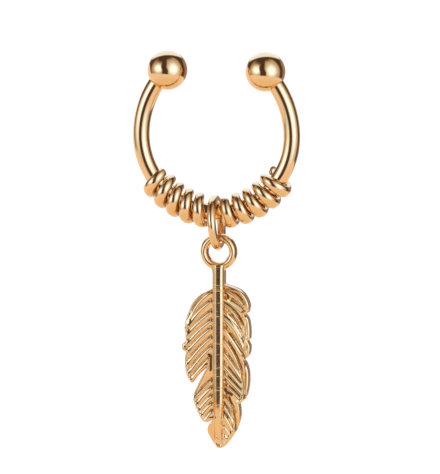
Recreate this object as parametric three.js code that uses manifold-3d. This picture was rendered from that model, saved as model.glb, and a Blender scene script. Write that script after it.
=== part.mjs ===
// Ear cuff: an open horseshoe of round wire with two ball ends, two coils of thin wire wound on
// its lower half, a jump ring between them and a cast feather that hangs from the ring.
// Units are millimetres. Seen from the front, +X points right, +Y away from the viewer and +Z up.
// The origin lies midway between the two balls, where the cuff grips the ear.

import * as THREE from 'three';
import { mergeVertices } from 'three/addons/utils/BufferGeometryUtils.js';
import Module from 'manifold-3d';

// Horseshoe
const wireDiameter = 1.25;
const bendRadius = 5.78;
const armRadius = 6.9;
const ballDiameter = 3.0;
const ballOffset = 3.76;
const wireSides = 14;
const wireSteps = 64;

// Coils, whose turns are counted from the inner side of the bend. Their wire is rolled oval.
const coilThickness = 0.6;
const coilWidth = 0.78;
const coilPlay = 0.06;
const coilSides = 8;
const coilStepsPerTurn = 18;
const coils = [
  { name: 'coil_left', start: -5.58, pitch: 1.02, lean: 0.05, skew: 0.0, fromTurn: 0.05, toTurn: 4.64 },
  { name: 'coil_right', start: 0.61, pitch: 1.06, lean: -0.1, skew: 0.1, fromTurn: 0.06, toTurn: 4.94 },
];

// Jump ring
const ringWire = 0.64;
const ringRadius = 1.785;
const ringPlay = 0.04;
const ringLean = THREE.MathUtils.degToRad(5);
const ringSides = 10;
const ringSteps = 36;

// Eye of the pendant
const eyeHole = 1.58;
const eyeBand = 0.56;
const eyeDepth = 0.96;
const eyePlay = 0.04;
const eyeSides = 10;
const eyeSteps = 28;

// Feather. It hangs by its balance point, which lies that far to the left of the quill.
const balance = 0.038;
const plateDepth = 1.1;
const quillWidth = 0.8;
const quillDepth = 1.2;
const quillCrown = 0.14;
const quillTop = 0.95;
const quillEnd = 12.3;
const quillPoint = 13.0;
const collarWidth = 1.2;
const collarHeight = 0.45;
const outlineSegments = 2;

// Outline of the feather, lobe by lobe from the left shoulder round the tip to the right shoulder.
// A lobe is a smooth curve through its points and meets the next one in a notch. A point is
// [across from the quill, depth below the eye].
const lobes = {
  leftShoulder: [
    [-0.2, 2.6], [-0.48, 2.79], [-1.45, 3.32], [-2.01, 3.98], [-2.31, 4.71], [-2.56, 5.42], [-2.5, 5.66],
  ],
  leftNick: [[-2.58, 5.78], [-2.44, 6.26], [-2.44, 6.86]],
  leftBud: [[-2.68, 7.11], [-2.68, 7.34], [-2.31, 7.58]],
  leftMiddle: [
    [-2.5, 7.82], [-2.56, 8.42], [-2.44, 9.26], [-2.19, 9.8], [-1.94, 9.92], [-1.58, 9.44], [-0.85, 8.72],
  ],
  leftLower: [[-1.09, 9.14], [-1.64, 10.22], [-1.88, 10.82], [-1.82, 11.54], [-1.15, 12.86], [-0.42, 12.76]],
  tip: [
    [-0.72, 13.1], [-0.87, 13.46], [-0.48, 14.29], [-0.03, 14.77], [0.76, 13.99], [1.5, 12.26], [1.4, 11.35],
  ],
  rightLower: [[1.62, 11.3], [1.99, 10.94], [2.17, 10.1], [2.17, 9.14], [1.99, 8.42], [1.81, 8.18]],
  rightSmall: [[1.93, 8.04], [2.24, 7.7], [2.3, 7.11], [2.11, 6.68]],
  rightMiddle: [[2.3, 6.5], [2.3, 5.9], [2.17, 5.07], [1.93, 4.71]],
  rightShoulder: [[2.17, 4.53], [2.24, 4.11], [2.11, 3.62], [1.75, 3.08], [1.25, 2.79], [0.3, 2.4]],
};

// Grooves between the raised barbs. A groove starts at the quill, rootDepth below the eye, and
// ends inside the rim at (tipAcross, tipDepth). Its middle stands out from the chord by bow.
const grooveStart = 0.5;
const grooveHalfWidth = 0.12;
const grooveCut = 0.34;
const grooves = namedRows(['rootDepth', 'tipAcross', 'tipDepth', 'bow'], [
  [2.55, 2.0, 3.8, 0.18],
  [3.15, 1.98, 4.15, 0.1],
  [3.7, 2.0, 5.75, 0.28],
  [4.15, 1.95, 6.1, 0.22],
  [4.7, 2.0, 7.05, 0.25],
  [5.38, 1.95, 7.55, 0.1],
  [6.3, 1.92, 9.6, 0.3],
  [7.25, 1.8, 9.3, 0.05],
  [8.2, 1.85, 9.95, 0.0],
  [8.95, 1.85, 10.45, 0.0],
  [9.75, 1.75, 10.95, 0.05],
  [10.6, 1.22, 12.2, 0.16],
  [11.3, 1.12, 12.55, 0.05],
  [12.0, 1.0, 13.1, 0.05],
  [12.85, 0.82, 13.6, 0.02],
  [13.5, 0.66, 14.0, 0.0],
  [2.85, -2.1, 4.6, -0.2],
  [3.5, -2.15, 5.15, -0.12],
  [4.3, -2.2, 5.85, -0.08],
  [4.95, -2.2, 6.5, -0.08],
  [5.55, -2.15, 7.1, -0.08],
  [6.25, -2.2, 8.0, -0.08],
  [6.95, -2.15, 8.75, -0.08],
  [7.7, -2.0, 9.3, -0.05],
  [7.6, -0.64, 8.95, 0.0],
  [9.53, -1.4, 10.4, -0.02],
  [10.1, -1.55, 11.15, -0.05],
  [10.7, -1.5, 11.75, -0.05],
  [11.3, -1.35, 12.2, -0.05],
  [11.9, -1.05, 12.55, -0.03],
]);

// Broad shallow hollows between two barbs
const hollowCut = 0.2;
const hollows = namedRows(['fromAcross', 'fromDepth', 'toAcross', 'toDepth', 'halfWidth'], [
  [0.95, 3.62, 1.95, 4.36, 0.14],
  [0.92, 4.72, 1.98, 6.3, 0.11],
  [0.88, 6.1, 1.95, 7.65, 0.12],
]);

// Colour and gloss of the plated metal
const polishedGold = { color: 0xe8b878, metalness: 1, roughness: 0.12 };
const castGold = { color: 0xe0ac66, metalness: 1, roughness: 0.2 };

// Places that follow from the sizes above
const armCentre = bendRadius - armRadius;
const bendHeight = -Math.sqrt(armRadius ** 2 - (ballOffset - armCentre) ** 2);
const bendQuarter = bendRadius * Math.PI / 2;
const armSweep = Math.acos((ballOffset - armCentre) / armRadius);
const halfLength = bendQuarter + armRadius * armSweep;
const wireBottom = bendHeight - bendRadius;
const coilRadius = wireDiameter / 2 + coilPlay + coilThickness / 2;
const ringDrop = ringRadius - ringWire / 2 - wireDiameter / 2 - ringPlay;
const ringHeight = wireBottom - ringDrop;
const hangAcross = ringRadius * Math.sin(ringLean);
const hangHeight = ringHeight - ringRadius * Math.cos(ringLean);
const eyeRadius = (eyeHole + eyeBand) / 2;
const eyeSlack = (eyeHole - ringWire) / 2 - eyePlay;
const eyeDrop = Math.sqrt(eyeSlack ** 2 - balance ** 2);

const wasm = await Module();
wasm.setup();

// The rows of a table as objects whose values go by the names of the columns
function namedRows(columns, rows) {
  return rows.map((row) => Object.fromEntries(columns.map((column, i) => [column, row[i]])));
}

// A closed three.js geometry as a solid that can be joined and cut
function toSolid(geometry) {
  const bare = geometry.clone();
  bare.deleteAttribute('normal');
  bare.deleteAttribute('uv');
  const merged = mergeVertices(bare, 1e-5);
  return new wasm.Manifold(new wasm.Mesh({
    numProp: 3,
    vertProperties: new Float32Array(merged.attributes.position.array),
    triVerts: new Uint32Array(merged.index.array),
  }));
}

// A joined or cut solid as a three.js geometry again
function toGeometry(solid) {
  const cut = solid.getMesh();
  const geometry = new THREE.BufferGeometry();
  geometry.setAttribute('position', new THREE.BufferAttribute(new Float32Array(cut.vertProperties), 3));
  geometry.setIndex(new THREE.BufferAttribute(new Uint32Array(cut.triVerts), 1));
  geometry.computeVertexNormals();
  return geometry;
}

// The section of a round or oval bar, as a polygon with its corners on the curve
function ovalSection(halfX, halfY, sides) {
  const corners = [];
  for (let i = 0; i < sides; i += 1) {
    const turn = 2 * Math.PI * i / sides;
    corners.push(new THREE.Vector2(halfX * Math.cos(turn), halfY * Math.sin(turn)));
  }
  return new THREE.Shape(corners);
}

function barAlong(curve, section, steps) {
  return new THREE.ExtrudeGeometry(section, { steps, extrudePath: curve, bevelEnabled: false });
}

// Centreline of the horseshoe at a distance from its lowest point, plus is right
function bendPoint(distance) {
  const side = Math.sign(distance);
  const along = Math.abs(distance);
  if (along <= bendQuarter) {
    const turn = distance / bendRadius;
    return [bendRadius * Math.sin(turn), bendHeight - bendRadius * Math.cos(turn)];
  }
  const rise = (along - bendQuarter) / armRadius;
  return [side * (armCentre + armRadius * Math.cos(rise)), bendHeight + armRadius * Math.sin(rise)];
}

class HorseshoeLine extends THREE.Curve {
  getPoint(t, target = new THREE.Vector3()) {
    const [x, z] = bendPoint((2 * t - 1) * halfLength);
    return target.set(x, 0, z);
  }
}

// The coil's wire runs from the inner side of the bend over the front to the outer side and back
// up behind. The lean slants its turns in the plane of the horseshoe and the skew turns them
// about the upright. The wire's flat side faces the wire that it is wound on.
class CoilLine extends THREE.Curve {
  constructor(coil) {
    super();
    this.coil = coil;
  }

  place(t) {
    const { start, pitch, lean, skew, fromTurn, toTurn } = this.coil;
    const turns = THREE.MathUtils.lerp(fromTurn, toTurn, t);
    const winding = 2 * Math.PI * turns;
    const along = start + pitch * turns - lean * Math.cos(winding) + skew * Math.sin(winding);
    return [winding, along / bendRadius];
  }

  getPoint(t, target = new THREE.Vector3()) {
    const [winding, place] = this.place(t);
    const reach = bendRadius - coilRadius * Math.cos(winding);
    return target.set(
      reach * Math.sin(place),
      -coilRadius * Math.sin(winding),
      bendHeight - reach * Math.cos(place),
    );
  }

  computeFrenetFrames(steps) {
    const frames = { tangents: [], normals: [], binormals: [] };
    for (let i = 0; i <= steps; i += 1) {
      const t = this.getUtoTmapping(i / steps);
      const [winding, place] = this.place(t);
      const tangent = this.getTangent(t);
      const outward = new THREE.Vector3(
        -Math.cos(winding) * Math.sin(place),
        -Math.sin(winding),
        Math.cos(winding) * Math.cos(place),
      );
      const across = new THREE.Vector3().crossVectors(tangent, outward).normalize();
      frames.tangents.push(tangent);
      frames.normals.push(new THREE.Vector3().crossVectors(across, tangent));
      frames.binormals.push(across);
    }
    return frames;
  }
}

function horseshoe() {
  const section = ovalSection(wireDiameter / 2, wireDiameter / 2, wireSides);
  let solid = toSolid(barAlong(new HorseshoeLine(), section, wireSteps));
  for (const side of [-1, 1]) {
    const ball = new THREE.SphereGeometry(ballDiameter / 2, 20, 14);
    ball.translate(side * ballOffset, 0, 0);
    solid = solid.add(toSolid(ball));
  }
  return toGeometry(solid);
}

function coilWinding(coil) {
  const steps = Math.round((coil.toTurn - coil.fromTurn) * coilStepsPerTurn);
  return barAlong(new CoilLine(coil), ovalSection(coilThickness / 2, coilWidth / 2, coilSides), steps);
}

function jumpRing() {
  const ring = new THREE.TorusGeometry(ringRadius, ringWire / 2, ringSides, ringSteps);
  ring.rotateY(Math.PI / 2);
  ring.rotateY(-ringLean);
  return toGeometry(toSolid(ring));
}

// Turns a flat drawing of (across, depth below the eye) into a slab that is centred on y = 0
function slab(shape, depth) {
  const flat = new THREE.ExtrudeGeometry(shape, {
    depth,
    bevelEnabled: false,
    curveSegments: outlineSegments,
  });
  flat.rotateX(Math.PI / 2);
  flat.translate(0, depth / 2, 0);
  return flat;
}

function featherOutline() {
  const outline = new THREE.Shape();
  const [[firstAcross, firstDepth]] = lobes.leftShoulder;
  outline.moveTo(firstAcross, -firstDepth);
  for (const lobe of Object.values(lobes)) {
    const [first, ...rest] = lobe.map(([across, depth]) => new THREE.Vector2(across, -depth));
    if (lobe !== lobes.leftShoulder) {
      outline.lineTo(first.x, first.y);
    }
    outline.splineThru(rest);
  }
  return outline;
}

// A groove's cutter is a bar of diamond section whose middle line lies on the front face
function grooveCutter({ rootDepth, tipAcross, tipDepth, bow }) {
  const side = Math.sign(tipAcross);
  const root = new THREE.Vector3(side * grooveStart, 0, -rootDepth);
  const tip = new THREE.Vector3(tipAcross, 0, -tipDepth);
  const chord = tip.clone().sub(root);
  const outward = new THREE.Vector3(-chord.z, 0, chord.x).normalize();
  const middle = root.clone().add(tip).multiplyScalar(0.5).addScaledVector(outward, 2 * bow);
  const line = new THREE.QuadraticBezierCurve3(root, middle, tip);
  const cutter = barAlong(line, ovalSection(grooveCut, grooveHalfWidth, 4), 5);
  cutter.translate(0, -plateDepth / 2, 0);
  return cutter;
}

function hollowCutter({ fromAcross, fromDepth, toAcross, toDepth, halfWidth }) {
  const length = Math.hypot(toAcross - fromAcross, toDepth - fromDepth);
  const leaf = new THREE.SphereGeometry(1, 12, 8);
  leaf.scale(length / 2, hollowCut, halfWidth);
  leaf.rotateY(Math.atan2(toDepth - fromDepth, toAcross - fromAcross));
  leaf.translate((fromAcross + toAcross) / 2, -plateDepth / 2, -(fromDepth + toDepth) / 2);
  return leaf;
}

// The quill's bar stands proud of both faces and comes to a point near the feather's tip
function quillBar() {
  const side = new THREE.Shape();
  side.moveTo(-quillWidth / 2, -quillTop);
  side.lineTo(-quillWidth / 2, -quillEnd);
  side.lineTo(0, -quillPoint);
  side.lineTo(quillWidth / 2, -quillEnd);
  side.lineTo(quillWidth / 2, -quillTop);
  const crown = new THREE.ExtrudeGeometry(side, {
    depth: quillDepth,
    bevelThickness: quillCrown,
    bevelSize: quillWidth / 4,
    bevelOffset: -quillWidth / 4,
    bevelSegments: 2,
  });
  crown.rotateX(Math.PI / 2);
  crown.translate(0, quillDepth / 2, 0);
  return crown;
}

// The collar is the flare that carries the eye on the quill
function collar() {
  const top = eyeRadius - eyeBand / 4;
  const flare = new THREE.Shape();
  flare.moveTo(-collarWidth / 2, -top);
  flare.lineTo(-quillWidth / 2, -top - collarHeight);
  flare.lineTo(quillWidth / 2, -top - collarHeight);
  flare.lineTo(collarWidth / 2, -top);
  return slab(flare, eyeDepth);
}

function eyeBandRing() {
  const ring = new THREE.TorusGeometry(eyeRadius, eyeBand / 2, eyeSides, eyeSteps);
  ring.rotateX(Math.PI / 2);
  ring.scale(1, eyeDepth / eyeBand, 1);
  return ring;
}

function featherPendant() {
  let solid = toSolid(slab(featherOutline(), plateDepth));
  for (const groove of grooves) {
    solid = solid.subtract(toSolid(grooveCutter(groove)));
  }
  for (const hollow of hollows) {
    solid = solid.subtract(toSolid(hollowCutter(hollow)));
  }
  solid = solid.add(toSolid(quillBar()));
  const hole = new THREE.CylinderGeometry(eyeHole / 2, eyeHole / 2, 2 * eyeDepth, eyeSteps);
  const neck = toSolid(collar()).subtract(toSolid(hole));
  return toGeometry(solid.add(neck).add(toSolid(eyeBandRing())));
}

function piece(name, geometry, finish) {
  const mesh = new THREE.Mesh(geometry, new THREE.MeshStandardMaterial(finish));
  mesh.name = name;
  return mesh;
}

const earCuff = new THREE.Group();
earCuff.add(piece('cuff_ring', horseshoe(), polishedGold));
for (const coil of coils) {
  earCuff.add(piece(coil.name, coilWinding(coil), polishedGold));
}

const link = piece('jump_ring', jumpRing(), polishedGold);
link.position.set(0, 0, ringHeight);
earCuff.add(link);

const pendant = piece('feather_pendant', featherPendant(), castGold);
pendant.position.set(hangAcross + balance, 0, hangHeight - eyeDrop);
earCuff.add(pendant);

export default earCuff;
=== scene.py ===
from math import acos, cos, hypot, pi, radians, sin, sqrt

import bpy
import numpy as np
from mathutils import Matrix, Vector
from mathutils.geometry import delaunay_2d_cdt


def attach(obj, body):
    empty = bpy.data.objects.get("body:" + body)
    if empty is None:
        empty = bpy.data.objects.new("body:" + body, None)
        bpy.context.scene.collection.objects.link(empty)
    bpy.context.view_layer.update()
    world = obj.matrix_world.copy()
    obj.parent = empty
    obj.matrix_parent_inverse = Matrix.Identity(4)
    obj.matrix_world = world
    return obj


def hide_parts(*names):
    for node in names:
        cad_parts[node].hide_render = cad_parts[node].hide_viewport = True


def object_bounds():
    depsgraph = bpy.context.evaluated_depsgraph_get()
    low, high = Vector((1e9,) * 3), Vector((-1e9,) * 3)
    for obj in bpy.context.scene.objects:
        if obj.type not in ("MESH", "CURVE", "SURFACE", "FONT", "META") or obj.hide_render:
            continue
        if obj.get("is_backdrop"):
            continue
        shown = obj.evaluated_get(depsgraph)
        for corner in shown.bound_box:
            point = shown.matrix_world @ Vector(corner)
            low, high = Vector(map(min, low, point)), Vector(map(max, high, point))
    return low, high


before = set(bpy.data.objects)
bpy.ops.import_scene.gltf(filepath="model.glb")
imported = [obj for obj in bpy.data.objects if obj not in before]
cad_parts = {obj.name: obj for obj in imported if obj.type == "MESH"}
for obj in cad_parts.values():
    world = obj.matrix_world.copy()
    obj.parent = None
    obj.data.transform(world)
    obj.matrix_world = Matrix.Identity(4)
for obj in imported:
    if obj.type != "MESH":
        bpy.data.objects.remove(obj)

bl_info = {
    "name": "Ear cuff with a feather",
    "version": (1, 0, 0),
    "blender": (4, 5, 0),
    "location": "View3D > Sidebar > Ear cuff",
    "description": "Models a gold-plated ear cuff of wound wire with a cast feather, and its studio",
    "category": "Add Mesh",
}

# Every size below is in millimetres until it is multiplied by MM
MM = 0.001
# Points nearer to each other than this are merged
SAME_PLACE = 0.0005

# Where the camera of the photograph stood, and how large the photograph shows a millimetre
PHOTO_AZIMUTH = radians(11.5)
PHOTO_ELEVATION = radians(6.0)
PHOTO_HEIGHT = 474
PIXELS_PER_MM = 13.3
# The middle of the photograph, seen from the origin: to the right and down
MIDDLE_RIGHT = 0.27
MIDDLE_DOWN = 12.49
# A lens so long that it shows almost no perspective, and the width of the camera's sensor
LENS = 700
SENSOR = 36

# The two coils, in millimetres along the bend: the place of turn 0, the pitch, and how far the
# outer side of a winding leans and its front is skewed. Turns are counted from the inner side.
COILS = {
    "coil_left": dict(start=-5.58, pitch=1.02, lean=0.05, skew=0.0, from_turn=0.05, to_turn=4.64),
    "coil_right": dict(start=0.61, pitch=1.06, lean=-0.1, skew=0.1, from_turn=0.06, to_turn=4.94),
}

# Outline of the feather, lobe by lobe from the left shoulder round the tip to the right one. A
# point is (across from the quill, depth below the eye). Between two lobes there is a notch.
LOBES = {
    "left shoulder": [
        (-0.2, 2.6), (-0.48, 2.79), (-1.45, 3.32), (-2.01, 3.98), (-2.31, 4.71), (-2.56, 5.42), (-2.5, 5.66),
    ],
    "left nick": [(-2.6, 5.76), (-2.5, 6.26), (-2.5, 6.8)],
    "left bud": [(-2.56, 6.88), (-2.72, 7.02), (-2.78, 7.24), (-2.7, 7.48), (-2.46, 7.62)],
    "left middle": [
        (-2.5, 7.82), (-2.56, 8.42), (-2.44, 9.26), (-2.19, 9.8), (-1.94, 9.92), (-1.58, 9.44), (-0.85, 8.72),
    ],
    "left lower": [
        (-1.09, 9.14), (-1.64, 10.22), (-1.88, 10.82), (-1.82, 11.54), (-1.15, 12.86), (-0.42, 12.76),
    ],
    "tip": [
        (-0.72, 13.1), (-0.87, 13.46), (-0.8, 13.9), (-0.47, 14.58), (0.0, 14.93), (0.46, 14.74),
        (0.96, 14.16), (1.4, 13.42), (1.7, 12.4), (1.62, 11.45),
    ],
    "right lower": [(1.8, 11.36), (2.14, 10.94), (2.34, 10.1), (2.35, 9.14), (2.17, 8.42), (1.99, 8.18)],
    "right small": [(2.11, 8.04), (2.4, 7.7), (2.46, 7.11), (2.28, 6.68)],
    "right middle": [(2.45, 6.5), (2.46, 5.9), (2.34, 5.07), (2.1, 4.71)],
    "right shoulder": [(2.32, 4.53), (2.41, 4.11), (2.29, 3.62), (1.94, 3.08), (1.44, 2.74), (0.3, 2.38)],
}

# Grooves between the barbs, from the quill at the depth of the root to (across, depth) of the
# tip. The bow is how far the middle of the run stands out, the cut is how deep the groove is along
# its run, and the pocket is how much deeper it is at its root.
GROOVE_COLUMNS = ("root", "tip_across", "tip_depth", "bow", "cut", "pocket")
GROOVES = {
    "right": [
        (2.55, 2.12, 3.80, 0.18, 0.11, 0.08),
        (3.15, 2.10, 4.15, 0.10, 0.11, 0.16),
        (3.70, 2.12, 5.75, 0.28, 0.09, 0.00),
        (4.15, 2.07, 6.10, 0.22, 0.09, 0.08),
        (4.70, 2.12, 7.05, 0.25, 0.09, 0.00),
        (5.38, 2.07, 7.55, 0.10, 0.10, 0.16),
        (6.30, 2.04, 9.60, 0.30, 0.12, 0.04),
        (7.25, 1.92, 9.30, 0.05, 0.11, 0.04),
        (8.20, 1.97, 9.95, 0.00, 0.11, 0.04),
        (8.95, 1.97, 10.45, 0.00, 0.11, 0.04),
        (9.75, 1.87, 10.95, 0.05, 0.11, 0.16),
        (10.60, 1.38, 12.20, 0.16, 0.14, 0.16),
        (11.30, 1.28, 12.55, 0.05, 0.11, 0.00),
        (12.00, 1.16, 13.10, 0.05, 0.11, 0.00),
        (12.85, 0.98, 13.60, 0.02, 0.09, 0.00),
        (13.50, 0.82, 14.00, 0.00, 0.07, 0.00),
    ],
    "left": [
        (2.85, 2.10, 4.60, 0.20, 0.05, 0.10),
        (3.50, 2.15, 5.15, 0.12, 0.05, 0.08),
        (4.30, 2.20, 5.85, 0.08, 0.04, 0.06),
        (4.95, 2.20, 6.50, 0.08, 0.04, 0.06),
        (5.55, 2.15, 7.10, 0.08, 0.05, 0.11),
        (6.25, 2.20, 8.00, 0.08, 0.05, 0.06),
        (6.95, 2.15, 8.75, 0.08, 0.05, 0.08),
        (7.70, 2.00, 9.30, 0.05, 0.05, 0.14),
        (9.53, 1.40, 10.40, 0.02, 0.04, 0.06),
        (10.10, 1.55, 11.15, 0.05, 0.04, 0.06),
        (10.70, 1.50, 11.75, 0.05, 0.04, 0.06),
        (11.30, 1.35, 12.20, 0.05, 0.04, 0.06),
        (11.90, 1.05, 12.55, 0.03, 0.04, 0.03),
    ],
}

# Troughs in the three broad barbs of the right half, and the deep pockets beside the quill
RUN_COLUMNS = ("from_across", "from_depth", "to_across", "to_depth", "half_width", "cut")
TROUGHS = [
    (0.98, 3.62, 1.92, 4.34, 0.23, 0.17),
    (0.94, 4.70, 1.95, 6.28, 0.21, 0.16),
    (0.90, 6.10, 1.92, 7.62, 0.21, 0.16),
]
POCKETS = [
    (-0.72, 7.80, -0.58, 7.96, 0.16, 0.28),
    (-0.56, 7.80, -0.56, 8.90, 0.15, 0.28),
    (0.52, 3.12, 0.76, 3.36, 0.17, 0.28),
    (0.50, 5.42, 0.66, 5.66, 0.15, 0.28),
    (0.52, 9.70, 0.62, 9.98, 0.16, 0.28),
    (0.54, 10.38, 0.70, 10.70, 0.18, 0.28),
    (0.70, 10.60, 1.06, 10.76, 0.13, 0.28),
    (0.86, 11.00, 1.22, 12.00, 0.12, 0.28),
]

# Small round pits of the casting, as (across, depth, radius)
PITS = [
    (-0.06, 13.95, 0.09), (0.24, 14.17, 0.07), (0.02, 14.1, 0.06),
    (-2.35, 5.72, 0.07),
]


def rows(columns, table):
    """The rows of a table, each by the names of its columns."""
    return [dict(zip(columns, row)) for row in table]


def linear(code):
    """An sRGB hex colour as the linear red, green and blue that Blender works in."""
    channels = [int(code[i:i + 2], 16) / 255 for i in (1, 3, 5)]
    return [c / 12.92 if c <= 0.04045 else ((c + 0.055) / 1.055) ** 2.4 for c in channels]


def length(name, description, millimetres):
    """A size that a user can change."""
    return bpy.props.FloatProperty(
        name=name, description=description, default=millimetres * MM, unit="LENGTH", precision=5,
    )


def share(name, description, value, top=1.0):
    """A plain number that a user can change."""
    return bpy.props.FloatProperty(name=name, description=description, default=value, min=0.0, max=top)


def colour(name, description, code):
    """A colour that a user can change, given as sRGB hex."""
    return bpy.props.FloatVectorProperty(
        name=name, description=description, default=linear(code), subtype="COLOR", min=0.0, max=1.0,
    )


def light(name, description, red, green, blue):
    """A light of its own colour and brightness, which may be brighter than white."""
    return bpy.props.FloatVectorProperty(
        name=name, description=description, default=(red, green, blue), min=0.0, soft_max=4.0,
    )


class HorseshoeSizes(bpy.types.PropertyGroup):
    wire: length("Wire", "Diameter of the horseshoe's wire", 1.25)
    bend: length("Bend", "Radius of the lower half of the horseshoe, to the middle of the wire", 5.78)
    arm: length("Arm", "Radius of the two arms, to the middle of the wire", 6.9)
    ball: length("Ball", "Diameter of the balls", 3.0)
    spread: length("Spread", "Half the distance between the middles of the two balls", 3.76)


class CoilSizes(bpy.types.PropertyGroup):
    thickness: length("Thickness", "Thickness of the wound wire, away from the horseshoe", 0.6)
    width: length("Width", "Width of the wound wire, along the horseshoe", 0.83)
    play: length("Play", "Air between the horseshoe and the wire wound on it", 0.06)


class RingSizes(bpy.types.PropertyGroup):
    wire: length("Wire", "Diameter of the jump ring's wire", 0.64)
    radius: length("Radius", "Radius of the jump ring, to the middle of its wire", 1.785)
    play: length("Play", "Air between the jump ring and the horseshoe", 0.04)
    joint: length("Joint", "Width of the cut in the jump ring", 0.02)
    lean: bpy.props.FloatProperty(
        name="Lean", description="How far the jump ring leans to the side",
        default=radians(5), subtype="ANGLE",
    )


class FeatherSizes(bpy.types.PropertyGroup):
    hole: length("Eye hole", "Diameter of the hole of the eye", 1.58)
    band: length("Eye band", "Width of the metal round the eye's hole", 0.62)
    eye_depth: length("Eye depth", "Thickness of the eye, front to back", 0.96)
    slack: length("Eye slack", "Air between the eye and the jump ring", 0.04)
    balance: length("Balance", "Distance from the balance point to the quill", 0.038)
    plate: length("Plate", "Thickness of the feather", 1.1)
    quill: length("Quill", "Width of the quill", 0.85)
    mesh: length("Mesh", "Distance between two points of the relief", 0.025)
    back_mesh: length("Back mesh", "Distance between two points of the back", 0.12)
    voxel: length("Voxel", "Size of the steps in which eye and quill are fused", 0.045)


class Finishes(bpy.types.PropertyGroup):
    plate: colour("Gold plate", "Colour of the polished gold plate", "#F0C78D")
    cast: colour("Cast gold plate", "Colour of the gold plate on the cast feather", "#F1C688")
    polish: share("Polish", "Roughness of the polished wire and balls", 0.07)
    wound: share("Wound wire", "Roughness of the wound wire and the jump ring", 0.12)
    skin: share("Skin", "Roughness of the cast feather", 0.13)


class Studio(bpy.types.PropertyGroup):
    boxes: share("Soft boxes", "Brightness of the two soft boxes at their middle", 1.26, 20.0)
    backdrop: share("Backdrop", "Brightness of the white backdrop above and behind", 0.95, 10.0)
    back_wall: share("Back wall", "Brightness of the wall below the backdrop", 0.3, 10.0)
    room: share("Room", "Brightness of the unlit room", 0.08, 10.0)
    warm: light("Warm", "Tint of the dim walls", 1.0, 0.70, 0.68)
    cool: light("Cool", "Tint of the bright middle of the boxes and of the backdrop", 1.0, 1.3, 2.2)
    near_table: light("Near table", "Light of the white table straight below", 0.95, 0.80, 0.66)
    far_table: light("Far table", "Light of the white table towards its edge", 1.02, 0.91, 0.93)


def add_node(tree, kind, place, inputs=None, **settings):
    """Adds a node with its settings. An input is a value, or another node's output to link."""
    node = tree.nodes.new(kind)
    node.location = place
    for name, value in settings.items():
        setattr(node, name, value)
    for socket, given in (inputs or {}).items():
        if isinstance(given, bpy.types.NodeSocket):
            tree.links.new(given, node.inputs[socket])
        else:
            node.inputs[socket].default_value = given
    return node


def new_material(name):
    """A material with an empty node tree, and that tree."""
    material = bpy.data.materials.new(name)
    material.use_nodes = True
    material.node_tree.nodes.clear()
    return material, material.node_tree


POLISHED_WIRE = "polished gold plate on drawn wire"
WOUND_WIRE = "polished gold plate on thin wound wire"
CASTING = "gold plate on a tumbled casting"

# Width and height of the slow waves of bent wire, of its hairlines, of the casting's grain and of
# the file marks. Real hairlines and grain are about a tenth as wide, too fine to show in the
# render, so they are drawn as coarse as they need to be to show.
WAVE, WAVE_HEIGHT = 1.6, 0.02
HAIRLINE, HAIRLINE_HEIGHT = 0.12, 0.002
GRAIN, GRAIN_HEIGHT = 0.15, 0.008
FILE_MARK, FILE_MARK_HEIGHT = 0.22, 0.02
# Width of a file mark as a share of its length
FILE_MARK_SHAPE = 0.12
# How far in front of the middle of the plate the quill's crown begins, and where it is reached
CROWN_FROM = 0.6
CROWN_TO = 0.68


def gold_plated_wire(name, plate, roughness, wave_strength):
    """Gold plate of this colour on wire, with slow waves and with hairlines that dull it a little."""
    material, tree = new_material(name)
    place = add_node(tree, "ShaderNodeTexCoord", (-1100, 0)).outputs["Object"]
    waves = add_node(
        tree, "ShaderNodeTexNoise", (-850, 150),
        {"Vector": place, "Scale": 1 / (WAVE * MM), "Detail": 1.5},
    ).outputs["Fac"]
    hairlines = add_node(
        tree, "ShaderNodeTexNoise", (-850, -150),
        {"Vector": place, "Scale": 1 / (HAIRLINE * MM), "Detail": 3.0},
    ).outputs["Fac"]
    bent = add_node(
        tree, "ShaderNodeBump", (-600, 200),
        {"Height": waves, "Strength": wave_strength, "Distance": WAVE_HEIGHT * MM},
    ).outputs["Normal"]
    worn = add_node(
        tree, "ShaderNodeBump", (-350, 100),
        {"Height": hairlines, "Normal": bent, "Strength": 0.12, "Distance": HAIRLINE_HEIGHT * MM},
    ).outputs["Normal"]
    dull = {"From Min": 0.35, "From Max": 0.7, "To Min": roughness, "To Max": roughness + 0.06}
    finish_metal(tree, plate, hairlines, dull, worn)
    return material


def finish_metal(tree, plate, grain, dull, surface):
    """The gold itself. Its roughness follows the grain within the limits that dull gives."""
    roughness = add_node(tree, "ShaderNodeMapRange", (-600, -100), {"Value": grain, **dull})
    metal = add_node(
        tree, "ShaderNodeBsdfPrincipled", (-100, 0),
        {
            "Base Color": (*plate, 1.0), "Metallic": 1.0,
            "Roughness": roughness.outputs["Result"], "Normal": surface,
        },
    )
    add_node(tree, "ShaderNodeOutputMaterial", (200, 0), {"Surface": metal.outputs["BSDF"]})


def polished_gold_plate(finishes):
    """Gold plate on drawn and tumbled brass wire. The eye gets hard, bright reflections that waver
    a little where the wire was pulled and bent, and hairlines from handling."""
    return gold_plated_wire(POLISHED_WIRE, finishes.plate, finishes.polish, 0.35)


def wound_gold_plate(finishes):
    """Gold plate on thin wire that the polishing reaches less well between the windings. The eye
    gets softer reflections that run together in the gaps."""
    return gold_plated_wire(WOUND_WIRE, finishes.plate, finishes.wound, 0.2)


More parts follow.
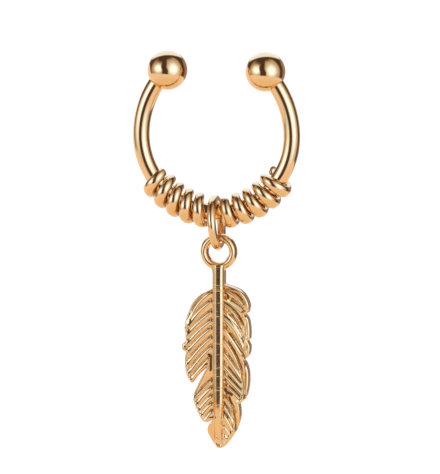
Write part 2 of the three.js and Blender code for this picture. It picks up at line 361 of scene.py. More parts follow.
def cast_gold_plate(finishes):
    """Gold plate on a cast, lightly tumbled feather. The eye gets softer reflections, a fine
    casting grain and short file marks across the crown of the quill."""
    material, tree = new_material(CASTING)
    place = add_node(tree, "ShaderNodeTexCoord", (-1300, 0)).outputs["Object"]
    grain = add_node(
        tree, "ShaderNodeTexNoise", (-850, -150),
        {"Vector": place, "Scale": 1 / (GRAIN * MM), "Detail": 4.0},
    ).outputs["Fac"]
    stretched = add_node(
        tree, "ShaderNodeMapping", (-1100, 250),
        {"Vector": place, "Scale": (FILE_MARK_SHAPE, FILE_MARK_SHAPE, 1.0)},
    ).outputs["Vector"]
    marks = add_node(
        tree, "ShaderNodeTexNoise", (-850, 250),
        {"Vector": stretched, "Scale": 1 / (FILE_MARK * MM), "Detail": 2.0},
    ).outputs["Fac"]
    strokes = add_node(
        tree, "ShaderNodeMapRange", (-700, 400), {"Value": marks, "From Min": 0.56, "From Max": 0.66},
    ).outputs["Result"]
    forward = add_node(tree, "ShaderNodeSeparateXYZ", (-1100, 500), {"Vector": place}).outputs["Y"]
    crown = add_node(
        tree, "ShaderNodeMapRange", (-850, 500),
        {
            "Value": forward, "From Min": -CROWN_FROM * MM, "From Max": -CROWN_TO * MM,
            "To Min": 0.05, "To Max": 0.5,
        },
    ).outputs["Result"]
    filed = add_node(
        tree, "ShaderNodeBump", (-600, 200),
        {"Height": strokes, "Strength": crown, "Distance": FILE_MARK_HEIGHT * MM},
    ).outputs["Normal"]
    cast = add_node(
        tree, "ShaderNodeBump", (-350, 100),
        {"Height": grain, "Normal": filed, "Strength": 0.3, "Distance": GRAIN_HEIGHT * MM},
    ).outputs["Normal"]
    dull = {"From Min": 0.3, "From Max": 0.7, "To Min": finishes.skin, "To Max": finishes.skin + 0.1}
    finish_metal(tree, finishes.cast, grain, dull, cast)
    return material


def direction(turn, climb):
    """The direction that is turned to the right from straight ahead and climbs by these angles."""
    return Vector((sin(turn) * cos(climb), -cos(turn) * cos(climb), sin(climb)))


def start_piece():
    """Leaves edit mode and deselects everything, so that the next operator acts on new things alone."""
    if bpy.context.object and bpy.context.object.mode != "OBJECT":
        bpy.ops.object.mode_set(mode="OBJECT")
    bpy.ops.object.select_all(action="DESELECT")


def select_alone(piece):
    """Selects one object and makes it the active one."""
    start_piece()
    piece.select_set(True)
    bpy.context.view_layer.objects.active = piece


def join(pieces):
    """Joins objects into the first one."""
    select_alone(pieces[0])
    for piece in pieces[1:]:
        piece.select_set(True)
    bpy.ops.object.join()
    return pieces[0]


def modify(piece, kind, **settings):
    """Adds a modifier to an object and applies it."""
    select_alone(piece)
    modifier = piece.modifiers.new(kind, kind)
    for name, value in settings.items():
        setattr(modifier, name, value)
    bpy.ops.object.modifier_apply(modifier=modifier.name)


def fuse(piece, others):
    """Unites other closed bodies with a closed body and removes them."""
    for other in others:
        modify(piece, "BOOLEAN", operation="UNION", solver="MANIFOLD", object=other)
        bpy.data.objects.remove(other)


def edit_all(piece):
    """Goes into edit mode with the whole piece selected. The next start_piece leaves it again."""
    select_alone(piece)
    bpy.ops.object.mode_set(mode="EDIT")
    bpy.ops.mesh.select_all(action="SELECT")


def place_in_mesh(piece):
    """Moves an object's place, turn and size into its mesh."""
    select_alone(piece)
    bpy.ops.object.transform_apply(location=True, rotation=True, scale=True)


def add_piece(primitive, scale=(1, 1, 1), **settings):
    """Adds a primitive by its operator, with its place, turn and scale in its mesh."""
    start_piece()
    primitive(**settings)
    piece = bpy.context.object
    piece.scale = scale
    place_in_mesh(piece)
    return piece


def add_mesh(name, places, faces):
    """Adds a mesh that is made point by point, in millimetres."""
    mesh = bpy.data.meshes.new(name)
    mesh.from_pydata(places * MM, [], faces)
    piece = bpy.data.objects.new(name, mesh)
    bpy.context.collection.objects.link(piece)
    return piece


def point_outwards(piece):
    """Makes all faces of a closed body point outwards."""
    edit_all(piece)
    bpy.ops.mesh.remove_doubles(threshold=SAME_PLACE * MM)
    bpy.ops.mesh.normals_make_consistent(inside=False)
    bpy.ops.object.mode_set(mode="OBJECT")


def finish_piece(piece, name, body, node, finish, crease=40):
    """Names a finished body, gives it its material and puts it in the place of its CAD node."""
    select_alone(piece)
    piece.name = name
    piece.data.name = name
    piece.data.materials.clear()
    piece.data.materials.append(gold(finish))
    bpy.ops.object.shade_smooth_by_angle(angle=radians(crease))
    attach(piece, body)
    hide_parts(node)


def gold(name):
    """One of the three materials, made the first time that it is asked for."""
    makers = {POLISHED_WIRE: polished_gold_plate, WOUND_WIRE: wound_gold_plate, CASTING: cast_gold_plate}
    return bpy.data.materials.get(name) or makers[name](bpy.context.scene.cuff_finishes)


# Steps along the curve of an arm, and along the lower half
ARM_STEPS = 56
BEND_STEPS = 120


def bend_middle(sizes):
    """Height of the middle of the lower half's arc, and of the middles of the two arms' arcs."""
    arm_middle = sizes.bend - sizes.arm
    return -sqrt(sizes.arm ** 2 - (sizes.spread - arm_middle) ** 2)


class CUFF_OT_horseshoe(bpy.types.Operator):
    """Bends the horseshoe's wire and solders a ball to each of its ends"""

    bl_idname = "cuff.horseshoe"
    bl_label = "Horseshoe"

    def execute(self, context):
        sizes = context.scene.cuff_horseshoe
        arm_middle = sizes.bend - sizes.arm
        height = bend_middle(sizes)
        sweep = acos((sizes.spread - arm_middle) / sizes.arm)
        wire = self.bend_wire(sizes, arm_middle, height, sweep)
        balls = [self.add_ball(sizes, side) for side in (-1, 1)]
        fuse(wire, balls)
        finish_piece(wire, "horseshoe", "cuff", "cuff_ring", POLISHED_WIRE, 30)
        return {"FINISHED"}

    def bend_wire(self, sizes, arm_middle, height, sweep):
        """Spins a round section along the left arm, the bend and the right arm."""
        wire = add_piece(
            bpy.ops.mesh.primitive_circle_add, vertices=40, radius=sizes.wire / 2, fill_type="NGON",
            location=(-sizes.spread, 0, 0), rotation=(0, sweep, 0),
        )
        edit_all(wire)
        arcs = [(-arm_middle, sweep, ARM_STEPS), (0, pi, BEND_STEPS), (arm_middle, sweep, ARM_STEPS)]
        for across, angle, steps in arcs:
            bpy.ops.mesh.spin(steps=steps, angle=angle, center=(across, 0, height), axis=(0, 1, 0))
        point_outwards(wire)
        return wire

    def add_ball(self, sizes, side):
        """The ball at the left (-1) or right (1) end of the wire."""
        return add_piece(
            bpy.ops.mesh.primitive_uv_sphere_add, segments=72, ring_count=48, radius=sizes.ball / 2,
            location=(side * sizes.spread, 0, 0),
        )


# Points round the section of the wound wire, and steps of one turn
SECTION_POINTS = 28
TURN_STEPS = 72
# The share of a turn that each rounded end takes up, and the rings that round it: how far each is
# inset and how far it stands out, as shares of the wire's thickness
END_TURN = 0.03
END_RINGS = [(0.06, 0.16), (0.12, 0.11), (0.2, 0.05)]


class CUFF_OT_coils(bpy.types.Operator):
    """Winds the two coils of rolled wire on the lower half of the horseshoe"""

    bl_idname = "cuff.coils"
    bl_label = "Coils"

    def execute(self, context):
        sizes = context.scene.cuff_coils
        horseshoe = context.scene.cuff_horseshoe
        reach = horseshoe.wire / 2 + sizes.play + sizes.thickness / 2
        for name, coil in COILS.items():
            winding = self.wind(sizes, reach, coil)
            self.slant(winding, reach, coil)
            self.wrap(winding, horseshoe)
            finish_piece(winding, name + "_wire", "cuff", name, WOUND_WIRE)
        return {"FINISHED"}

    def wind(self, sizes, reach, coil):
        """Winds an oval section about the upright, from the side that will be the inner one."""
        turns = coil["to_turn"] - coil["from_turn"] - 2 * END_TURN
        winding = add_piece(
            bpy.ops.mesh.primitive_circle_add, (sizes.thickness / 2, sizes.width / 2, 1),
            vertices=SECTION_POINTS, radius=1, rotation=(pi / 2, 0, 0),
        )
        edit_all(winding)
        bpy.ops.transform.translate(value=(reach, 0, 0))
        bpy.ops.transform.rotate(
            value=2 * pi * (coil["from_turn"] + END_TURN), orient_axis="Z", center_override=(0, 0, 0),
        )
        steps = round(TURN_STEPS * turns)
        modify(
            winding, "SCREW", angle=-2 * pi * turns, screw_offset=coil["pitch"] * MM * turns,
            steps=steps, render_steps=steps, use_merge_vertices=False,
        )
        edit_all(winding)
        self.close_ends(sizes)
        point_outwards(winding)
        return winding

    def close_ends(self, sizes):
        """Fills the two open ends of the winding in edit mode and rounds them."""
        bpy.ops.mesh.remove_doubles(threshold=SAME_PLACE * MM)
        bpy.ops.mesh.select_all(action="DESELECT")
        bpy.ops.mesh.select_non_manifold(extend=False, use_wire=False, use_multi_face=False)
        bpy.ops.mesh.fill_holes(sides=0)
        bpy.ops.mesh.select_all(action="DESELECT")
        bpy.ops.mesh.select_face_by_sides(number=SECTION_POINTS, type="EQUAL", extend=False)
        for inset, rise in END_RINGS:
            bpy.ops.mesh.inset(thickness=inset * sizes.thickness, depth=rise * sizes.thickness)

    def slant(self, winding, reach, coil):
        """Leans and turns the straight coil's windings."""
        shear = Matrix.Identity(4)
        shear[2][0] = -coil["lean"] * MM / reach
        shear[2][1] = -coil["skew"] * MM / reach
        start = (coil["start"] + coil["pitch"] * (coil["from_turn"] + END_TURN)) * MM
        winding.data.transform(Matrix.Translation((0, 0, start)) @ shear)

    def wrap(self, winding, horseshoe):
        """Bends the straight coil along the horseshoe's lower half."""
        heights = [vertex.co.z for vertex in winding.data.vertices]
        angle = (max(heights) - min(heights)) / horseshoe.bend
        modify(winding, "SIMPLE_DEFORM", deform_method="BEND", deform_axis="Y", angle=angle)
        bottom = bend_middle(horseshoe) - horseshoe.bend
        turn = Matrix(((0, 0, 1, 0), (0, 1, 0, 0), (1, 0, 0, bottom), (0, 0, 0, 1)))
        winding.data.transform(turn)
        point_outwards(winding)


# How far the jump ring's cut is turned from its top to the back
CUT_TURN = radians(40)


class CUFF_OT_jump_ring(bpy.types.Operator):
    """Bends the jump ring, with the fine cut where its ends meet"""

    bl_idname = "cuff.jump_ring"
    bl_label = "Jump ring"

    def execute(self, context):
        sizes = context.scene.cuff_ring
        height, _, _ = hanging(context)
        cut = sizes.joint / sizes.radius
        ring = add_piece(
            bpy.ops.mesh.primitive_circle_add, vertices=32, radius=sizes.wire / 2, fill_type="NGON",
            location=(0, 0, sizes.radius), rotation=(pi / 2, 0, 0),
        )
        edit_all(ring)
        bpy.ops.mesh.spin(steps=128, angle=2 * pi - cut, center=(0, 0, 0), axis=(1, 0, 0))
        point_outwards(ring)
        ring.rotation_euler = (-CUT_TURN, 0, 0)
        place_in_mesh(ring)
        ring.rotation_euler = (0, -sizes.lean, 0)
        ring.location = (0, 0, height)
        place_in_mesh(ring)
        finish_piece(ring, "jump_ring_wire", "jump_ring", "jump_ring", WOUND_WIRE)
        return {"FINISHED"}


def hanging(context):
    """Height of the jump ring's middle, and across and height of the middle of the feather's eye."""
    horseshoe = context.scene.cuff_horseshoe
    ring = context.scene.cuff_ring
    feather = context.scene.cuff_feather
    bottom = bend_middle(horseshoe) - horseshoe.bend
    height = bottom - (ring.radius - ring.wire / 2 - horseshoe.wire / 2 - ring.play)
    slack = (feather.hole - ring.wire) / 2 - feather.slack
    across = ring.radius * sin(ring.lean) + feather.balance
    eye = height - ring.radius * cos(ring.lean) - sqrt(slack ** 2 - feather.balance ** 2)
    return height, across, eye


# Steps from one point of the outline to the next
OUTLINE_STEPS = 8


def curve_through(points):
    """Points of a smooth cubic curve through the given points, without its last point."""
    ends = [points[0], *points, points[-1]]
    result = []
    for before, first, second, after in zip(ends, ends[1:], ends[2:], ends[3:]):
        for step in range(OUTLINE_STEPS):
            t = step / OUTLINE_STEPS
            result.append([
                0.5 * (
                    2 * b + (c - a) * t + (2 * a - 5 * b + 4 * c - d) * t ** 2
                    + (3 * b - a - 3 * c + d) * t ** 3
                )
                for a, b, c, d in zip(before, first, second, after)
            ])
    return result


def feather_outline():
    """The feather's outline as (across, depth), once round."""
    outline = []
    for lobe in LOBES.values():
        outline += curve_through(lobe)
        outline.append(list(lobe[-1]))
    return np.array(outline)


def inside(points, outline):
    """Which points lie inside the outline."""
    across, depth = points[:, :1], points[:, 1:]
    start, end = outline, np.roll(outline, -1, axis=0)
    spans = (start[:, 1] > depth) != (end[:, 1] > depth)
    rise = np.where(end[:, 1] == start[:, 1], 1.0, end[:, 1] - start[:, 1])
    crossing = start[:, 0] + (depth - start[:, 1]) * (end[:, 0] - start[:, 0]) / rise
    return (spans & (across < crossing)).sum(axis=1) % 2 == 1


def line_distance(across, depth, start, end):
    """How far points lie from the straight line between a start and an end."""
    (start_across, start_depth), (run, fall) = start, np.subtract(end, start)
    size = max(run * run + fall * fall, 1e-12)
    along = np.clip(((across - start_across) * run + (depth - start_depth) * fall) / size, 0, 1)
    return np.hypot(across - start_across - along * run, depth - start_depth - along * fall)


def edge_distance(points, outline):
    """How far each point lies from the outline."""
    distance = np.full(len(points), np.inf)
    for start, end in zip(outline, np.roll(outline, -1, axis=0)):
        distance = np.minimum(distance, line_distance(points[:, 0], points[:, 1], start, end))
    return distance


def run_distance(across, depth, row):
    """How far points lie from the straight middle of a trough or a pocket."""
    start, end = (row["from_across"], row["from_depth"]), (row["to_across"], row["to_depth"])
    return line_distance(across, depth, start, end)


def smooth_step(value, low, high):
    """0 below low, 1 above high and a smooth rise between them."""
    t = np.clip((value - low) / (high - low), 0, 1)
    return t * t * (3 - 2 * t)


# How far across the grooves begin, and where the barbs begin to rise and are fully there
GROOVE_START = 0.5
BARBS_FROM = 0.2
BARBS_TO = 0.45
# Points of a groove's line, and how far it is drawn on beyond its tip
LINE_POINTS = 25
LINE_BEYOND = 3
# Where a groove runs out: so far before its tip, to so far beyond it
FADE_BEFORE = 0.15
FADE_BEYOND = 0.05
# Width of a groove's steep upper side, of its flat floor and of its lower side, which rounds into
# the next barb
UPPER_SIDE = 0.05
FLOOR = {"left": 0.05, "right": 0.16}
LOWER_SIDE = {"left": 0.22, "right": 0.2}
# How much a barb falls towards the groove below it, and how far below a groove the fall goes on
BARB_FALL = {"left": 0.22, "right": 0.2}
BARB_REACH = 1.3
# How far above the first groove the shoulder's own fall begins
SHOULDER = 0.5
# Share of the barbs' steps that goes on in the margin between the grooves' tips and the outline
MARGIN_STEP = {"left": 1.0, "right": 0.0}
# How far across the deeper root of a groove reaches, and the share of a deep pocket that is floor
ROOT_WIDTH = 0.16
POCKET_FLOOR = 0.75
# The depth from which the whole front falls towards the tip, and its fall
TIP_START = 12.6
TIP_FALL = 0.2
# Width and depth of the rounding of the feather's edge, in front and behind
FRONT_ROUND = (0.1, 0.16)
BACK_ROUND = (0.2, 0.2)
# The raised rim inside the edge
RIM_MIDDLE = 0.16
RIM_WIDTH = 0.08
RIM_HEIGHT = {"left": 0.02, "right": 0.06}
PIT_DEPTH = 0.07


def groove_line(groove):
    """Across and depth of the points of a groove's bowed middle line, drawn on beyond its tip."""
    root, tip_across, tip_depth = groove["root"], groove["tip_across"], groove["tip_depth"]
    run, fall = tip_across - GROOVE_START, tip_depth - root
    size = hypot(run, fall)
    middle_across = GROOVE_START + run / 2 + 2 * groove["bow"] * fall / size
    middle_depth = root + fall / 2 - 2 * groove["bow"] * run / size
    t = np.linspace(0, 1, LINE_POINTS)
    across = (1 - t) ** 2 * GROOVE_START + 2 * t * (1 - t) * middle_across + t ** 2 * tip_across
    depth = (1 - t) ** 2 * root + 2 * t * (1 - t) * middle_depth + t ** 2 * tip_depth
    slope = (depth[-1] - depth[-2]) / (across[-1] - across[-2])
    return np.append(across, across[-1] + LINE_BEYOND), np.append(depth, depth[-1] + LINE_BEYOND * slope)


def barb_relief(across, depth, side):
    """Height of the barbs and their grooves on one half of the feather."""
    height = np.zeros(len(across))
    beside = smooth_step(across, BARBS_FROM, BARBS_TO)
    below = None
    for groove in rows(GROOVE_COLUMNS, GROOVES[side]):
        tip = groove["tip_across"]
        line_across, line_depth = groove_line(groove)
        line = np.interp(across, line_across, line_depth)
        slope = np.interp(across, line_across[1:], np.diff(line_depth) / np.diff(line_across))
        away = (depth - line) / np.sqrt(1 + slope ** 2)
        if below is None:
            below = np.clip(away + SHOULDER, 0, BARB_REACH)
        reach = 1 - smooth_step(across, tip - FADE_BEFORE, tip + FADE_BEYOND)
        reach *= beside
        again = np.maximum(reach, MARGIN_STEP[side] * beside)
        deep = groove["cut"] + groove["pocket"] * np.exp(-((across - GROOVE_START) / ROOT_WIDTH) ** 2)
        past = np.clip(away - FLOOR[side], 0, None)
        step = BARB_FALL[side] * np.clip(below - away, 0, BARB_REACH)
        lower = np.clip(1 - past / LOWER_SIDE[side], 0, 1) ** 2
        upper = np.clip(1 + away / UPPER_SIDE, 0, 1) ** 2
        height -= np.where(away > 0, (reach * deep + again * step) * lower, reach * deep * upper)
        below = np.where(away > 0, below + (past - below) * again, below)
    return height - BARB_FALL[side] * below * beside


def trough_relief(across, depth):
    """Height of the straight-sided troughs in the broad barbs."""
    height = np.zeros(len(across))
    for trough in rows(RUN_COLUMNS, TROUGHS):
        away = run_distance(across, depth, trough)
        height -= trough["cut"] * np.clip(1 - away / trough["half_width"], 0, 1)
    return height


def sink_pockets(across, depth, height):
    """Cuts the deep pockets beside the quill, with a floor that faces straight ahead."""
    for pocket in rows(RUN_COLUMNS, POCKETS):
        away = run_distance(across, depth, pocket)
        floor = 1 - smooth_step(away, POCKET_FLOOR * pocket["half_width"], pocket["half_width"])
        height = height + (np.minimum(height, -pocket["cut"]) - height) * floor
    return height


def front_relief(across, depth, edge):
    """Height of the front of the feather over its flat ground, in millimetres."""
    height = np.zeros(len(across))
    for side, sign in (("left", -1), ("right", 1)):
        half = sign * across > 0
        height[half] += barb_relief(sign * across[half], depth[half], side)
        rim = np.exp(-((edge[half] - RIM_MIDDLE) / RIM_WIDTH) ** 2)
        height[half] += RIM_HEIGHT[side] * rim
    height += trough_relief(across, depth)
    height = sink_pockets(across, depth, height)
    height -= TIP_FALL * np.clip(depth - TIP_START, 0, None)
    for pit_across, pit_depth, radius in PITS:
        height -= PIT_DEPTH * np.exp(-(np.hypot(across - pit_across, depth - pit_depth) / radius) ** 2)
    return height - rounding(edge, *FRONT_ROUND)


def rounding(edge, width, depth):
    """How far a rounded edge of this width and depth has fallen at a distance from the outline."""
    lack = np.clip(1 - edge / width, 0, 1)
    return depth * (1 - np.sqrt(1 - lack ** 2))


# What the function that makes triangles is asked for: those inside the loop alone, and points
# nearer than this as one
INSIDE_LOOP = 1
SAME_POINT = 1e-7
# The collar below the eye: how far its top reaches up into the eye's band, its width there, its
# share of the eye's thickness, and how far each stretch drops and the share of the width it leaves
COLLAR_RISE = 0.1
COLLAR_WIDTH = 1.3
COLLAR_DEPTH = 0.8
COLLAR_DROPS = [(0.2, 0.84), (0.2, 0.86), (0.25, 0.93)]
# The quill's middle across the feather, and its section as half widths across and millimetres
# forward from the middle of the plate
QUILL_ACROSS = 0.035
QUILL_SECTION = [
    (-1.0, 0.48), (-0.94, 0.565), (-0.34, 0.722), (-0.29, 0.731), (-0.25, 0.735), (-0.22, 0.735),
    (0.46, 0.735), (0.49, 0.735), (0.53, 0.731), (0.58, 0.722), (0.86, 0.66), (0.92, 0.63), (1.0, 0.50),
    (1.0, -0.48), (0.75, -0.64), (0.0, -0.735), (-0.75, -0.64), (-1.0, -0.48),
]
# Depth below the eye, and share of the width and of the height that is left, down the quill
QUILL_STATIONS = [
    (0.96, 1.22, 0.96), (1.22, 1.0, 1.0), (2.6, 1.0, 1.0), (9.5, 0.98, 1.0), (11.2, 0.9, 0.98),
    (12.2, 0.75, 0.92), (13.3, 0.4, 0.52),
]


class CUFF_OT_feather(bpy.types.Operator):
    """Models the cast feather with its barbs, rim, quill and eye"""

    bl_idname = "cuff.feather"
    bl_label = "Feather"

    def execute(self, context):
        sizes = context.scene.cuff_feather
        feather = self.model_relief(sizes)
        stem = self.fuse_stem(sizes)
        fuse(feather, [stem])
        _, across, eye = hanging(context)
        feather.location = (across, 0, eye)
        place_in_mesh(feather)
        finish_piece(feather, "feather", "pendant", "feather_pendant", CASTING)
        return {"FINISHED"}

    def model_relief(self, sizes):
        """The feather's plate, with its relief in front and a plain, rounded back. Its mesh is
        made point by point, because its relief is a formula and not a shape to extrude."""
        outline = feather_outline()
        count = len(outline)
        ground = sizes.plate / MM / 2
        front, front_edge, front_faces = self.cover(outline, sizes.mesh / MM)
        back, back_edge, back_faces = self.cover(outline, sizes.back_mesh / MM)
        forward = -ground - front_relief(front[:, 0], front[:, 1], front_edge)
        backward = ground - rounding(back_edge, *BACK_ROUND)
        places = np.vstack([
            np.column_stack([front[:, 0], forward, -front[:, 1]]),
            np.column_stack([back[:, 0], backward, -back[:, 1]]),
        ])
        shift = len(front)
        backs = [tuple(i + shift for i in reversed(face)) for face in back_faces]
        walls = [((i + 1) % count, i, i + shift, (i + 1) % count + shift) for i in range(count)]
        feather = add_mesh("feather", places, [*front_faces, *backs, *walls])
        point_outwards(feather)
        return feather

    def cover(self, outline, step):
        """Points that cover the outline evenly, the outline's first, their distances from it and
        the triangles between them."""
        low, high = outline.min(axis=0), outline.max(axis=0)
        columns = np.arange(low[0], high[0], step)
        lines = enumerate(np.arange(low[1], high[1], step * sqrt(3) / 2))
        grid = np.array([(x + step / 2 * (line % 2), y) for line, y in lines for x in columns])
        grid = grid[inside(grid, outline)]
        grid = grid[edge_distance(grid, outline) > step / 2]
        places = [Vector(place) for place in (*outline, *grid)]
        count = len(outline)
        loop = [(i, (i + 1) % count) for i in range(count)]
        points, _, faces, _, _, _ = delaunay_2d_cdt(places, loop, [], INSIDE_LOOP, SAME_POINT)
        points = np.array([tuple(point) for point in points])
        edge = edge_distance(points, outline)
        edge[:count] = 0.0
        return points, edge, faces

    def fuse_stem(self, sizes):
        """Eye and collar, run together as the casting has them, and the quill."""
        stem = join([self.add_eye(sizes), self.add_collar(sizes)])
        modify(stem, "REMESH", mode="VOXEL", voxel_size=sizes.voxel)
        modify(stem, "SMOOTH", factor=0.5, iterations=5)
        fuse(stem, [self.add_quill(sizes)])
        return stem

    def add_eye(self, sizes):
        """The eye that hangs on the jump ring."""
        return add_piece(
            bpy.ops.mesh.primitive_torus_add, (1, 1, sizes.eye_depth / sizes.band),
            major_radius=(sizes.hole + sizes.band) / 2, minor_radius=sizes.band / 2,
            major_segments=96, minor_segments=32, rotation=(pi / 2, 0, 0),
        )

    def add_collar(self, sizes):
        """The flare between the eye and the quill."""
        top = -(sizes.hole + sizes.band) / 2 + COLLAR_RISE * MM
        collar = add_piece(
            bpy.ops.mesh.primitive_plane_add, (COLLAR_WIDTH * MM, sizes.eye_depth * COLLAR_DEPTH, 1),
            size=1, location=(0, 0, top),
        )
        edit_all(collar)
        for drop, narrowing in COLLAR_DROPS:
            bpy.ops.mesh.extrude_region_move(TRANSFORM_OT_translate={"value": (0, 0, -drop * MM)})
            bpy.ops.transform.resize(value=(narrowing, 1, 1))
        point_outwards(collar)
        return collar

    def add_quill(self, sizes):
        """A bar with a flat crown between two chamfers, that thins out towards the tip."""
        top, spread, _ = QUILL_STATIONS[0]
        half = sizes.quill / MM / 2 * spread
        section = [(QUILL_ACROSS + half * across, -forward, -top) for across, forward in QUILL_SECTION]
        quill = add_mesh("quill", np.array(section), [tuple(range(len(section)))])
        edit_all(quill)
        pairs = zip(QUILL_STATIONS, QUILL_STATIONS[1:])
        for (depth, width, front), (next_depth, next_width, next_front) in pairs:
            drop = (0, 0, (depth - next_depth) * MM)
            bpy.ops.mesh.extrude_region_move(TRANSFORM_OT_translate={"value": drop})
            bpy.ops.transform.resize(
                value=(next_width / width, next_front / front, 1),
                center_override=(QUILL_ACROSS * MM, 0, -next_depth * MM),
            )
        point_outwards(quill)
        return quill


# The two soft boxes in front: where their middles are, in degrees of turn from straight ahead and
# of climb above the horizon, how far they spread, and their share of the brightness
GLOWS = [
    dict(turn=-44, climb=11, turn_spread=21, climb_spread=16, share=0.95),
    dict(turn=48, climb=9, turn_spread=21, climb_spread=23, share=0.82),
]
# The walls that the boxes light, on either side (-1 is left) of the dark gap between them, and how
# many degrees the edges at the gap, the outer edges and the tops fade over, to either side
WALLS = [
    dict(side=-1, inner=20, outer=96, top=47, share=0.22),
    dict(side=1, inner=15, outer=104, top=72, share=0.36),
]
INNER_FADE = 5
OUTER_FADE = 8
TOP_FADE_ABOVE = 10
TOP_FADE_BELOW = 14
# How many degrees the gap leans to the left up to this climb
GAP_LEAN = 9
GAP_TOP = 25
# The white backdrop above and behind, how far it reaches and how softly it ends
BACKDROP_TURN = -165
BACKDROP_CLIMB = 42
BACKDROP_REACH = 36
BACKDROP_FADE = 5
# Where the wall below the backdrop fades in, by how far ahead a direction points and by its climb
BACK_WALL_AHEAD = (-0.5, -0.8)
BACK_WALL_CLIMB = (30, 15)
# The brightness at which green and blue leave the warm tint, and at which they reach the cool one
GREEN_RANGE = (0.19, 1.07)
BLUE_RANGE = (0.32, 1.3)
# The table's edge as the z of a direction in front, how it changes to the right, how softly it
# ends, and how much higher it is behind on the left, which fades in over these two ranges
TABLE_EDGE = -0.33
TABLE_SLOPE = -0.1
TABLE_FADE = 0.03
TABLE_BEHIND = 0.38
BEHIND_AHEAD = (-0.1, -0.5)
BEHIND_ACROSS = (0.3, -0.2)
# The z of the directions to the near and the far part of the table
TABLE_RANGE = (-0.85, -0.4)
# Brightness of the white behind and below the cuff, a little over white so that it stays white
PAPER_WHITE = 1.05
# A node that goes smoothly from 0 to 1, or between its last two inputs, as its first input goes
# from the second to the third
SMOOTH = dict(kind="ShaderNodeMapRange", interpolation_type="SMOOTHSTEP")


def add_world(scene, studio):
    """The studio as the polished metal sees it: a white table below, a white backdrop above and
    behind, and in front a dark room with a soft box on either side of a dark gap."""
    world = bpy.data.worlds.new("studio")
    world.use_nodes = True
    scene.world = world
    tree = world.node_tree
    tree.nodes.clear()
    way = add_node(tree, "ShaderNodeTexCoord", (-400, 0)).outputs["Generated"]
    parts = add_node(tree, "ShaderNodeSeparateXYZ", (-200, 0), {"Vector": way}).outputs

    def step(*inputs, kind="ShaderNodeMath", **settings):
        """The first output of a new node with its inputs in order. Its place is the next free one."""
        row, column = divmod(len(tree.nodes), 10)
        node = add_node(tree, kind, (200 * column, -200 * row), dict(enumerate(inputs)), **settings)
        return node.outputs[0]

    def product(result, *others):
        for other in others:
            result = step(result, other, operation="MULTIPLY")
        return result

    def total(result, *others):
        for other in others:
            result = step(result, other, operation="ADD")
        return result

    ahead = product(parts["Y"], -1.0)
    turn = product(step(parts["X"], ahead, operation="ARCTAN2"), 180 / pi)
    climb = product(step(parts["Z"], operation="ARCSINE"), 180 / pi)
    leaning = total(turn, step(climb, 0, GAP_TOP, 0, GAP_LEAN, **SMOOTH))

    def wall(side, inner, outer, top):
        """A softly lit wall between the gap and its outer edge, up to its top."""
        return product(
            step(product(leaning, side), inner - INNER_FADE, inner + INNER_FADE, **SMOOTH),
            step(product(turn, side), outer + OUTER_FADE, outer - OUTER_FADE, **SMOOTH),
            step(climb, top + TOP_FADE_ABOVE, top - TOP_FADE_BELOW, **SMOOTH),
        )

    def glow(box):
        """The bright, soft middle of a box."""
        turned = step(total(turn, -box["turn"]), box["turn_spread"], operation="DIVIDE")
        climbed = step(total(climb, -box["climb"]), box["climb_spread"], operation="DIVIDE")
        away = total(product(turned, turned), product(climbed, climbed))
        return step(product(away, -0.5), operation="EXPONENT")

    lamps = []
    for edges, box in zip(WALLS, GLOWS):
        lit = wall(edges["side"], edges["inner"], edges["outer"], edges["top"])
        lamps.append(product(lit, total(edges["share"], product(glow(box), box["share"])), studio.boxes))
    sweep = direction(radians(BACKDROP_TURN), radians(BACKDROP_CLIMB))
    near = add_node(tree, "ShaderNodeVectorMath", (-200, 300), {0: way, 1: sweep}, operation="DOT_PRODUCT")
    low, high = (cos(radians(BACKDROP_REACH + fade)) for fade in (BACKDROP_FADE, -BACKDROP_FADE))
    backdrop = step(near.outputs["Value"], low, high, 0, studio.backdrop, **SMOOTH)
    back_wall = product(
        step(ahead, *BACK_WALL_AHEAD, 0, studio.back_wall, **SMOOTH), step(climb, *BACK_WALL_CLIMB, **SMOOTH),
    )
    above = total(*lamps, step(backdrop, back_wall, operation="MAXIMUM"), studio.room)

    green = step(above, *GREEN_RANGE, studio.warm[1], studio.cool[1], **SMOOTH)
    blue = step(above, *BLUE_RANGE, studio.warm[2], studio.cool[2], **SMOOTH)
    room = step(above, product(above, green), product(above, blue), kind="ShaderNodeCombineColor")
    behind = product(step(ahead, *BEHIND_AHEAD, **SMOOTH), step(parts["X"], *BEHIND_ACROSS, **SMOOTH))
    edge = total(TABLE_EDGE, product(parts["X"], TABLE_SLOPE), product(behind, TABLE_BEHIND))
    on_table = step(step(edge, parts["Z"], operation="SUBTRACT"), -TABLE_FADE, TABLE_FADE, **SMOOTH)
    table = add_node(
        tree, "ShaderNodeMix", (2200, 0),
        {
            "Factor": step(parts["Z"], *TABLE_RANGE, **SMOOTH),
            "A": (*studio.near_table, 1.0), "B": (*studio.far_table, 1.0),
        },
        data_type="RGBA",
    ).outputs["Result"]
    around = add_node(
        tree, "ShaderNodeMix", (2400, 0), {"Factor": on_table, "A": room, "B": table}, data_type="RGBA",
    ).outputs["Result"]
    seen = add_node(tree, "ShaderNodeLightPath", (2400, 300)).outputs["Is Camera Ray"]
    studio_light = step(around, kind="ShaderNodeBackground")
    paper = step((1, 1, 1, 1), PAPER_WHITE, kind="ShaderNodeBackground")
    both = step(seen, studio_light, paper, kind="ShaderNodeMixShader")
    add_node(tree, "ShaderNodeOutputWorld", (2600, 0), {"Surface": both})


# Side of the table's plane in metres, and how far it lies below the feather's tip
TABLE_SIDE = 4
TABLE_DROP = 8


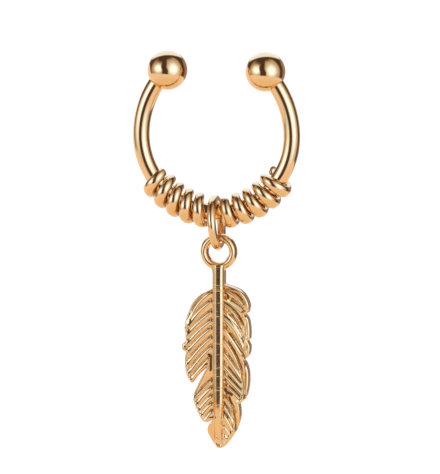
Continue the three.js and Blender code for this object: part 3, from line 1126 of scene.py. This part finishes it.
class CUFF_OT_studio(bpy.types.Operator):
    """Sets up the white table, the studio's light and the camera"""

    bl_idname = "cuff.studio"
    bl_label = "Studio"

    def execute(self, context):
        scene = context.scene
        add_world(scene, scene.cuff_studio)
        self.add_table()
        self.add_camera(scene)
        scene.view_settings.view_transform = "Standard"
        return {"FINISHED"}

    def add_table(self):
        """A white table that is lit from below, a little under the feather's tip."""
        low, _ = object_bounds()
        table = add_piece(
            bpy.ops.mesh.primitive_plane_add, size=TABLE_SIDE, location=(0, 0, low.z - TABLE_DROP * MM),
        )
        table.name = "table"
        material, tree = new_material("white acrylic lit from below")
        glow = add_node(tree, "ShaderNodeEmission", (0, 0), {"Color": (1, 1, 1, 1), "Strength": PAPER_WHITE})
        add_node(tree, "ShaderNodeOutputMaterial", (200, 0), {"Surface": glow.outputs["Emission"]})
        table.data.materials.append(material)
        table.visible_glossy = False
        table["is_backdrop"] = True

    def add_camera(self, scene):
        """A long lens at the photograph's angle, that shows the photograph's size."""
        right = Vector((cos(PHOTO_AZIMUTH), sin(PHOTO_AZIMUTH), 0))
        back = direction(PHOTO_AZIMUTH, PHOTO_ELEVATION)
        up = back.cross(right)
        middle = (right * MIDDLE_RIGHT - up * MIDDLE_DOWN) * MM
        data = bpy.data.cameras.new("camera")
        data.lens = LENS
        data.sensor_width = SENSOR
        half_view = PHOTO_HEIGHT / PIXELS_PER_MM / 2 * MM
        camera = bpy.data.objects.new("camera", data)
        camera.location = middle + back * half_view / (data.sensor_width / 2 / data.lens)
        camera.rotation_euler = back.to_track_quat("Z", "Y").to_euler()
        data.clip_start = 0.01
        data.clip_end = 10
        scene.collection.objects.link(camera)
        scene.camera = camera


class CUFF_PT_panel(bpy.types.Panel):
    """Lists the steps that build the ear cuff, and its sizes and finishes"""

    bl_idname = "CUFF_PT_panel"
    bl_label = "Ear cuff"
    bl_space_type = "VIEW_3D"
    bl_region_type = "UI"
    bl_category = "Ear cuff"

    def draw(self, context):
        for operator in OPERATORS:
            self.layout.operator(operator.bl_idname)
        for group in GROUPS:
            box = self.layout.box()
            box.label(text=group)
            settings = getattr(context.scene, group)
            for name in settings.__annotations__:
                box.prop(settings, name)


OPERATORS = (CUFF_OT_horseshoe, CUFF_OT_coils, CUFF_OT_jump_ring, CUFF_OT_feather, CUFF_OT_studio)
GROUPS = {
    "cuff_horseshoe": HorseshoeSizes,
    "cuff_coils": CoilSizes,
    "cuff_ring": RingSizes,
    "cuff_feather": FeatherSizes,
    "cuff_finishes": Finishes,
    "cuff_studio": Studio,
}


def register():
    for part in (*GROUPS.values(), *OPERATORS, CUFF_PT_panel):
        bpy.utils.register_class(part)
    for name, group in GROUPS.items():
        setattr(bpy.types.Scene, name, bpy.props.PointerProperty(type=group))


def unregister():
    for name in GROUPS:
        delattr(bpy.types.Scene, name)
    for part in reversed((*GROUPS.values(), *OPERATORS, CUFF_PT_panel)):
        bpy.utils.unregister_class(part)


def main():
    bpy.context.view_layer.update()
    register()
    bpy.ops.cuff.horseshoe()
    bpy.ops.cuff.coils()
    bpy.ops.cuff.jump_ring()
    bpy.ops.cuff.feather()
    bpy.ops.cuff.studio()


if __name__ == "__main__":
    main()
